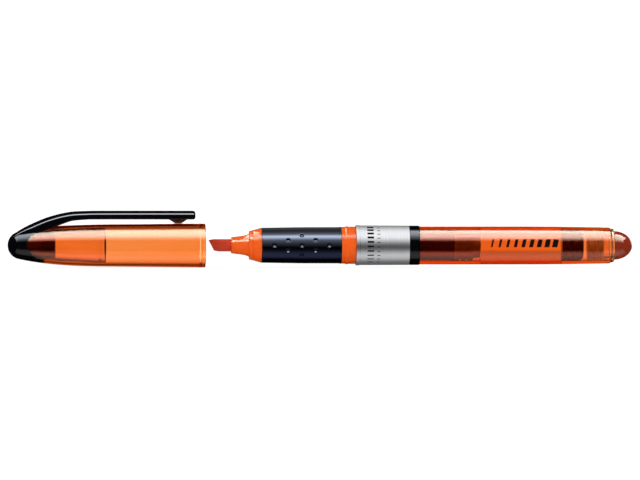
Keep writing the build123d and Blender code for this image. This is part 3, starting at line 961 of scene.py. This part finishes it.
def make_end_plug():
    """The clear end plug: a spigot, a rim on the barrel, a step, and a hollow dome marked for its painted
    shade.
    """
    seat = barrel_x1 + 0.02
    spigot_r = 4.53
    spigot_bore = 3.4
    step_r = 4.8
    dome_length = 5.35
    dome_x = end_x1 - dome_length
    dome_r = 4.25
    dome_steps = 24
    hollow_start, hollow_end = end_x1 - 4.35, end_x1 - 1.05
    dome = []
    for i in range(dome_steps):
        a = pi / 2 * i / dome_steps
        dome.append((dome_x + dome_length * sin(a), dome_r * cos(a)))
    head = [
        (end_x0, spigot_bore), (end_x0, spigot_r), (seat, spigot_r), (seat, end_r),
        (seat + 0.55, end_r), (seat + 0.7, step_r + 0.04), (dome_x - 0.2, step_r),
        (dome_x, dome_r + 0.2),
    ]
    hollow = [
        (hollow_end, 0.0), (hollow_end, 1.3), (hollow_start, 2.7),
        (hollow_start, spigot_bore - 0.1), (end_x0 + 0.01, spigot_bore),
    ]
    outline = soften(head, 0.12) + dome + [(end_x1, 0.0)] + soften(hollow, 0.3, 4)
    plug = lathe("end_plug_dome", outline)
    dome_shade_mark = plug.data.attributes.new("dome", "FLOAT", "FACE")
    dome_shade_mark.data.foreach_set("value", [float(face.center.x > dome_x * MM) for face in plug.data.polygons])
    return dress(plug, clear_end, "clear_orange", "pen", "end_plug")


def printed_bars(name, skin_r, bars):
    """Thin printed bars on the pen's skin, each (x, width, low angle, high angle, lean)."""
    lift, sink = 0.012, 0.02
    steps = 8
    verts, faces = [], []
    for x0, width, low, high, lean in bars:
        start = len(verts)
        for r in (skin_r + lift, skin_r - sink):
            for j in range(steps + 1):
                t = j / steps
                a = radians(low + (high - low) * t)
                for dx in (0, width):
                    verts.append((x0 + dx + lean * t, -r * cos(a), r * sin(a)))
        layer = 2 * (steps + 1)
        for j in range(steps):
            a = start + 2 * j
            b = a + layer
            faces += [(a, a + 1, a + 3, a + 2), (b + 2, b + 3, b + 1, b)]
            faces += [(a, a + 2, b + 2, b), (a + 1, b + 1, b + 3, a + 3)]
        last = start + 2 * steps
        faces += [(start, start + layer, start + layer + 1, start + 1)]
        faces += [(last, last + 1, last + layer + 1, last + layer)]
    mark = mesh_piece(name, verts, faces, 60)
    return dress(mark, print_black, "black_plastic", "pen")


def make_prints():
    """Generic marks in place of the maker's: bars that grow like a line-width scale."""
    count = 9
    first_x, last_x = 4.2, 24.6
    pitch = (last_x - first_x) / count
    scale = [(first_x + i * pitch, 0.55 + 0.13 * i, -6, 18, 0.55) for i in range(count)]
    printed_bars("barrel_mark", barrel_r, scale)
    row_count = 10
    wide_x, narrow_x = -32.2, -29.3
    rows = []
    for i in range(row_count):
        angle = -58 + 13 * i
        rows.append((wide_x, 1.9, angle, angle + 2.5 + 0.6 * i, 0.0))
        rows.append((narrow_x, 0.9, angle, angle + 2.0, 0.0))
    printed_bars("sleeve_mark", sleeve_r - 0.09, rows)


make_cap_tube()
make_inner_cap()
make_nose()
make_clip()
make_clip_foot()
make_nib()
make_guide()
make_section()
make_grip()
make_sleeve()
make_ring()
make_barrel()
make_end_plug()
make_prints()
repaint("ink_wick", wick_felt)
repaint("ink_collector", dark_core)
repaint("tank_divider", divider_tone)
repaint("ink_fill", ink_liquid)
repaint("tank_stopper", stopper_tone)
repaint("seal_plug", plug_tone)


# ---- stage, light and camera --------------------------------------------------------------------

low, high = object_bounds()
centre = (low + high) / 2


def stage_mesh(name, verts, faces, material):
    """A mesh in metres that belongs to the stage, not to the pen."""
    mesh = bpy.data.meshes.new(name)
    mesh.from_pydata(verts, [], faces)
    mesh.update()
    obj = bpy.data.objects.new(name, mesh)
    scene.collection.objects.link(obj)
    obj.data.materials.append(material)
    return obj


def make_floor():
    """A pale floor in two halves, near and far. Neither shows in reflections or through the clear plastic."""
    material, shader, _ = new_material("pale_floor")
    shader.inputs["Base Color"].default_value = (0.93, 0.93, 0.93, 1)
    shader.inputs["Roughness"].default_value = 0.9
    shader.inputs["Specular IOR Level"].default_value = 0.1
    half = 8.0
    floor_gap = 0.00005
    z = low.z - floor_gap
    for name, y0, y1 in (("floor_near", -half, 0.0), ("floor_far", 0.0, half)):
        corners = [(-half, y0, z), (half, y0, z), (half, y1, z), (-half, y1, z)]
        floor = stage_mesh(name, corners, [(0, 1, 2, 3)], material)
        floor.visible_glossy = False
        floor.visible_transmission = False


BOX_RADIUS = 0.5
BOX_SPACING = 0.01
BOX_LENGTH = 1.3
BOX_STEP_DEGREES = 2.5


def softbox(name, stops, receivers, colour=(1, 1, 1), glossy=True, reach=(-1, 1)):
    """A curved softbox round the pen's axis, seen only in its receivers.

    Stops are (angle, strength). The angle is 0 towards the camera's side and grows over the top. Reach is
    where it starts and ends along the pen, from -1 to 1. A glossy one shows in surfaces, and the others show
    only through clear plastic. Each box has a radius of its own, so that no two coincide."""
    radius = BOX_RADIUS + BOX_SPACING * len(softboxes)
    first, last = stops[0][0], stops[-1][0]
    steps = max(8, int((last - first) / BOX_STEP_DEGREES))
    verts, faces, strengths = [], [], []
    for i in range(steps + 1):
        angle = first + (last - first) * i / steps
        a = radians(angle)
        for side in reach:
            verts.append((centre.x + side * BOX_LENGTH / 2, -radius * cos(a), radius * sin(a)))
            strengths.append(max(interpolate(angle, stops), 0))
    for i in range(steps):
        faces.append((2 * i, 2 * i + 1, 2 * i + 3, 2 * i + 2))
    material = bpy.data.materials.new(name)
    material.use_nodes = True
    nodes = material.node_tree.nodes
    nodes.clear()
    attribute = nodes.new("ShaderNodeAttribute")
    attribute.attribute_name = "strength"
    emission = nodes.new("ShaderNodeEmission")
    emission.inputs["Color"].default_value = (*colour, 1)
    see_through = nodes.new("ShaderNodeBsdfTransparent")
    both = nodes.new("ShaderNodeAddShader")
    output = nodes.new("ShaderNodeOutputMaterial")
    link(material, attribute.outputs["Fac"], emission.inputs["Strength"])
    link(material, emission.outputs["Emission"], both.inputs[0])
    link(material, see_through.outputs["BSDF"], both.inputs[1])
    link(material, both.outputs["Shader"], output.inputs["Surface"])
    material.cycles.emission_sampling = "NONE"
    box = stage_mesh(name, verts, faces, material)
    layer = box.data.attributes.new("strength", "FLOAT", "POINT")
    layer.data.foreach_set("value", np.array(strengths, np.float32))
    box.visible_camera = False
    box.visible_diffuse = False
    box.visible_shadow = False
    box.visible_volume_scatter = False
    box.visible_glossy = glossy
    box.visible_transmission = not glossy
    group = bpy.data.collections.new(name + "_receivers")
    for receiver in receivers:
        group.objects.link(scene.objects[receiver])
    box.light_linking.receiver_collection = group
    softboxes.append(box)


softboxes = []
make_floor()

cap_clear = ("cap_tube_shell", "inner_cap_sleeve")
pen_clear = ("barrel_tube", "end_plug_dome")
front_clear = ("nib_guide_flare", "front_section_body")
warm = (1.0, 1.0, 0.86)
cool = (0.88, 0.95, 1.06)
key = [(24, 0), (34, 2.8), (40, 5.4), (46, 9), (52, 11.2), (60, 12.6)]
softbox("key_cap", key + [(70, 14), (82, 13), (87, 9), (92, 2.5), (97, 0)], cap_clear, warm)
softbox("key_pen", key + [(70, 12.5), (78, 14.5), (86, 17), (95, 15), (100, 6), (105, 0)], pen_clear, warm)
softbox(
    "low_clear",
    [(-110, 0), (-98, 0.6), (-80, 0.9), (-67, 1.2), (-52, 0.8), (-40, 0.3), (-30, 0)],
    cap_clear + pen_clear,
    warm,
)
softbox("back_clear", [(150, 0), (158, 2), (176, 2), (182, 0)], cap_clear + pen_clear)
softbox("key_guide", [(42, 0), (50, 8), (59, 14), (68, 9), (76, 1.5), (84, 0)], ["nib_guide_flare"], warm)
softbox(
    "key_section",
    [(40, 0), (48, 3), (60, 5.5), (70, 2.5), (78, 0)],
    ["front_section_body"],
    warm,
)
softbox(
    "key_cone",
    [(30, 0), (60, 3), (85, 6), (100, 8), (135, 6), (150, 0)],
    front_clear,
    warm,
    reach=(-1, -0.25),
)
softbox("key_nib", [(40, 0), (60, 2), (100, 2), (130, 0)], ["chisel_nib"])
softbox(
    "key_clip",
    [(34, 0), (43, 7), (50, 22), (58, 13), (68, 2), (80, 0)],
    ["clip_arm", "clip_foot"],
    cool,
)
softbox(
    "key_black",
    [(30, 0), (47, 2.2), (58, 4.5), (67, 6), (80, 7), (90, 6.5), (98, 1.5), (105, 0)],
    ["cap_nose_shell", "black_ring"],
    cool,
)
softbox("low_black", [(-90, 0), (-75, 0.5), (-45, 0.5), (-30, 0)], ["cap_nose_shell", "black_ring"])
softbox(
    "key_grip",
    [(-12, 0), (-4, 0.24), (9, 0.7), (22, 1.6), (28, 2.1), (35, 3.5), (41.5, 7.2), (48.5, 11.5),
     (55.5, 16.5), (62.5, 13.5), (69, 6.5), (76, 2.9), (85, 1.6), (94, 0.75), (104, 0.4), (117, 0.3),
     (131, 0.4), (165, 0)],
    ["grip_rubber_sleeve"],
    (1.05, 1.02, 1.08),
)
softbox(
    "low_grip",
    [(-104, 0), (-98, 0.07), (-89, 0.35), (-80, 0.7), (-64, 0.95), (-50, 0.7), (-43, 0.46), (-36, 0.21),
     (-22, 0)],
    ["grip_rubber_sleeve"],
    (0.6, 0.6, 1.05),
)
softbox(
    "round_silver",
    [(-180, 0.2), (-150, 0.14), (-110, 0.21), (-83, 0.55), (-61, 0.68), (-42, 0.48), (-24, 0.17),
     (-6, 0.10), (11, 0.28), (28, 0.68), (47, 1.1), (67, 1.15), (89, 1.08), (117, 0.67), (150, 0.3),
     (180, 0.2)],
    ["silver_sleeve"],
)
softbox("glow_top", [(30, 0), (42, 2), (60, 2.5), (85, 2.5), (100, 0)], cap_clear + pen_clear, glossy=False)
softbox(
    "glow_low",
    [(-112, 0), (-104, 0.2), (-90, 0.4), (-75, 0.9), (-62, 1.6), (-54, 1.7), (-44, 0)],
    pen_clear,
    glossy=False,
)
softbox("glow_low_cap", [(-100, 0), (-92, 0.5), (-60, 1.0), (-50, 0)], cap_clear, glossy=False)
softbox("glow_floor", [(-160, 0), (-154, 0.65), (-136, 0.65), (-130, 0)], ["barrel_tube"], glossy=False)
softbox("glow_end", [(100, 0), (120, 1.0), (165, 1.0), (175, 0)], ["end_plug_dome"], glossy=False)
softbox(
    "glow_back",
    [(115, 0), (130, 0.35), (150, 0.5), (162, 0.5), (172, 0)],
    ["barrel_tube"],
    glossy=False,
)


def math_node(tree, operation, first, second):
    """A maths node of two values, each a socket or a number."""
    node = tree.nodes.new("ShaderNodeMath")
    node.operation = operation
    for socket, value in zip(node.inputs, (first, second)):
        if isinstance(value, (int, float)):
            socket.default_value = value
        else:
            tree.links.new(value, socket)
    return node.outputs["Value"]


FALL_OFF = (
    (-36, 0.11), (-26, 0.3), (-17, 0.7), (-11, 1.0), (6, 1.0),
    (10, 0.5), (15, 0.2), (26, 0.11), (60, 0.11), (75, 0.3),
)  # (elevation in degrees, share of the near or far level)
NEAR_LEVEL = 0.04
FAR_LEVEL = 1.15
BACKDROP_LEVEL = 1.15


def make_world():
    """White all round, but not in reflections. Through clear plastic the near side is dark. The far side is
    white at the horizon, falls off above and below it so the plastic's rims go dark, and lifts overhead."""
    world = bpy.data.worlds.new("studio")
    scene.world = world
    world.use_nodes = True
    tree = world.node_tree
    backdrop = tree.nodes["Background"]
    backdrop.inputs["Color"].default_value = (1, 1, 1, 1)
    direction = tree.nodes.new("ShaderNodeTexCoord")
    axes = tree.nodes.new("ShaderNodeSeparateXYZ")
    tree.links.new(direction.outputs["Generated"], axes.inputs["Vector"])
    half_up = math_node(tree, "ADD", math_node(tree, "MULTIPLY", axes.outputs["Z"], 0.5), 0.5)
    stops = [(0.5 + 0.5 * sin(radians(elevation)), (level,) * 3) for elevation, level in FALL_OFF]
    height = ramp(world, half_up, stops)
    behind = add_node(
        world, "ShaderNodeMapRange", From_Min=-0.05, From_Max=0.1, To_Min=NEAR_LEVEL, To_Max=FAR_LEVEL
    )
    tree.links.new(axes.outputs["Y"], behind.inputs["Value"])
    through = math_node(tree, "MULTIPLY", height.outputs["Color"], behind.outputs["Result"])
    path = tree.nodes.new("ShaderNodeLightPath")
    choose = tree.nodes.new("ShaderNodeMix")
    choose.data_type = "FLOAT"
    choose.inputs["A"].default_value = BACKDROP_LEVEL
    tree.links.new(path.outputs["Is Transmission Ray"], choose.inputs["Factor"])
    tree.links.new(through, choose.inputs["B"])
    tree.links.new(choose.outputs["Result"], backdrop.inputs["Strength"])
    world.cycles_visibility.glossy = False


make_world()

AZIMUTH = radians(-3.4)
DISTANCE = 4.0
FRAME_WIDTH = 0.1891  # metres across the picture at the pen
CAMERA_RISE = 0.00155
CAMERA_SHIFT = -0.00008
SENSOR_WIDTH = 36.0
MOST_SURFACES = 32  # see-through softboxes that a ray may cross, and none is dropped before that
SURE_BOUNCES = 3  # before a weak ray may be dropped
camera_data = bpy.data.cameras.new("camera")
camera = bpy.data.objects.new("camera", camera_data)
scene.collection.objects.link(camera)
scene.camera = camera
camera_data.sensor_width = SENSOR_WIDTH
camera_data.lens = SENSOR_WIDTH * DISTANCE / FRAME_WIDTH
camera_data.clip_start = 0.01
camera_data.clip_end = 30.0
camera.location = (
    centre.x + CAMERA_SHIFT + DISTANCE * sin(AZIMUTH),
    -DISTANCE * cos(AZIMUTH),
    CAMERA_RISE,
)
camera.rotation_euler = (pi / 2, 0, AZIMUTH)

scene.view_settings.view_transform = "Standard"
scene.cycles.transparent_max_bounces = MOST_SURFACES
scene.cycles.min_transparent_bounces = MOST_SURFACES
scene.cycles.min_light_bounces = SURE_BOUNCES
